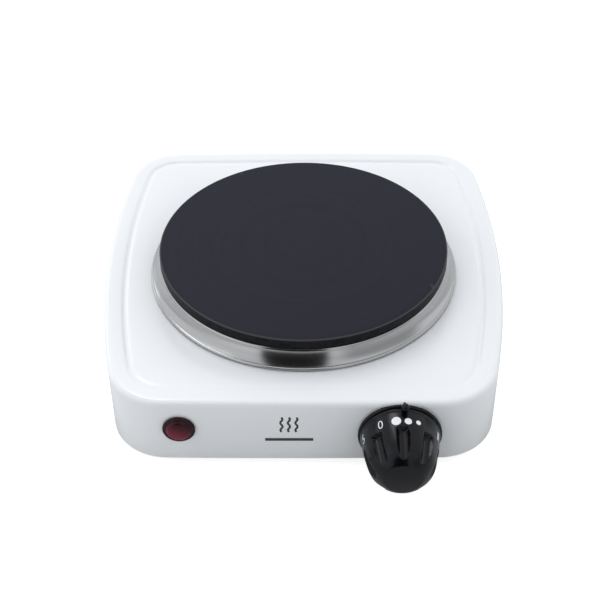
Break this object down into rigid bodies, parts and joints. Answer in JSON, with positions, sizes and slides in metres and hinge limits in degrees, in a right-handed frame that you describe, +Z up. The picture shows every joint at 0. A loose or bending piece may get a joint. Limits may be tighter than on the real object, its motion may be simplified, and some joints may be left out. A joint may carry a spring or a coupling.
{
  "type": "hot plate burner",
  "caption": "Electric hot plate: round cast-iron plate in a flared steel ring on a white pressed-steel box, with a fluted turning knob, pilot lamp, base plate and rubber feet.",
  "frame": {"origin": "on the floor under the middle of the whole object's box, knob and cord gland included", "axes": "+Z up from the feet, +Y from the knob's wall to the back, +X to the right seen from the front"},
  "size_m": [0.2168, 0.2548, 0.0612],
  "materials": {
    "white_paint": "smooth gloss white stove enamel",
    "cast_iron": "black heat-resistant coating over fine turned rings",
    "stainless": "spun and brushed stainless steel",
    "zinc_steel": "zinc-plated sheet steel",
    "black_plastic": "glossy moulded phenolic",
    "grey_plastic": "moulded nylon",
    "red_lens": "clear red polycarbonate",
    "lamp_glass": "clear glass",
    "brass": "plain turned and pressed brass",
    "ceramic": "unglazed steatite",
    "rubber": "matt moulded rubber",
    "sleeving": "braided glass-fibre sleeving",
    "earth_sleeving": "green and yellow sleeving"
  },
  "bodies": {
    "frame": {"base_plate": "zinc_steel", "bimetal_strip": "zinc_steel", "ceramic_spacer_1": "ceramic", "ceramic_spacer_2": "ceramic", "ceramic_spacer_3": "ceramic", "ceramic_spacer_4": "ceramic", "clamp_bridge": "zinc_steel", "clamp_nut": "zinc_steel", "clamp_stud": "zinc_steel", "clamp_washer": "zinc_steel", "contact_leaf_front": "brass", "contact_leaf_rear": "brass", "cord_gland": "black_plastic", "corner_bracket_front_left": "zinc_steel", "corner_bracket_front_right": "zinc_steel", "corner_bracket_rear_left": "zinc_steel", "corner_bracket_rear_right": "zinc_steel", "dial_bezel": "black_plastic", "earth_nut": "brass", "earth_screw": "brass", "earth_tag": "brass", "element_pin_left": "zinc_steel", "element_pin_right": "zinc_steel", "foot_front_left": "rubber", "foot_front_right": "rubber", "foot_rear_left": "rubber", "foot_rear_right": "rubber", "foot_screw_front_left": "zinc_steel", "foot_screw_front_right": "zinc_steel", "foot_screw_rear_left": "zinc_steel", "foot_screw_rear_right": "zinc_steel", "gland_nut": "black_plastic", "heat_shield": "zinc_steel", "heating_coil_inner": "zinc_steel", "heating_coil_outer": "zinc_steel", "hot_plate": "cast_iron", "housing_shell": "white_paint", "lamp_lead_live": "sleeving", "lamp_lead_neutral": "sleeving", "lead_earth": "earth_sleeving", "lead_live": "sleeving", "lead_neutral": "sleeving", "lead_switched": "sleeving", "mains_terminal_block": "grey_plastic", "neon_bulb": "lamp_glass", "pilot_lens": "red_lens", "pilot_retainer": "zinc_steel", "plate_cover": "zinc_steel", "plate_terminal_block": "ceramic", "stack_rivet": "zinc_steel", "thermostat_bush": "brass", "thermostat_plate": "zinc_steel", "thermostat_screw_left": "zinc_steel", "thermostat_screw_right": "zinc_steel", "trim_ring": "stainless"},
    "knob": {"control_knob": "black_plastic", "knob_spring": "zinc_steel", "thermostat_spindle": "zinc_steel"},
    "regulator": {"regulating_pin": "ceramic"}
  },
  "joints": [
    {"name": "knob_turn", "type": "hinge", "parent": "frame", "child": "knob", "pos_m": [0.048, -0.09544, 0.0245], "axis": [0, -1, 0], "range_deg": [-38, 280]},
    {"name": "regulating_pin_slide", "type": "slide", "parent": "frame", "child": "regulator", "axis": [0, 1, 0], "range_m": [-0.00012, 0.0008]}
  ],
  "couplings": [
    {"joint": "regulating_pin_slide", "follows": "knob_turn", "m_per_rad": 0.00016}
  ]
}
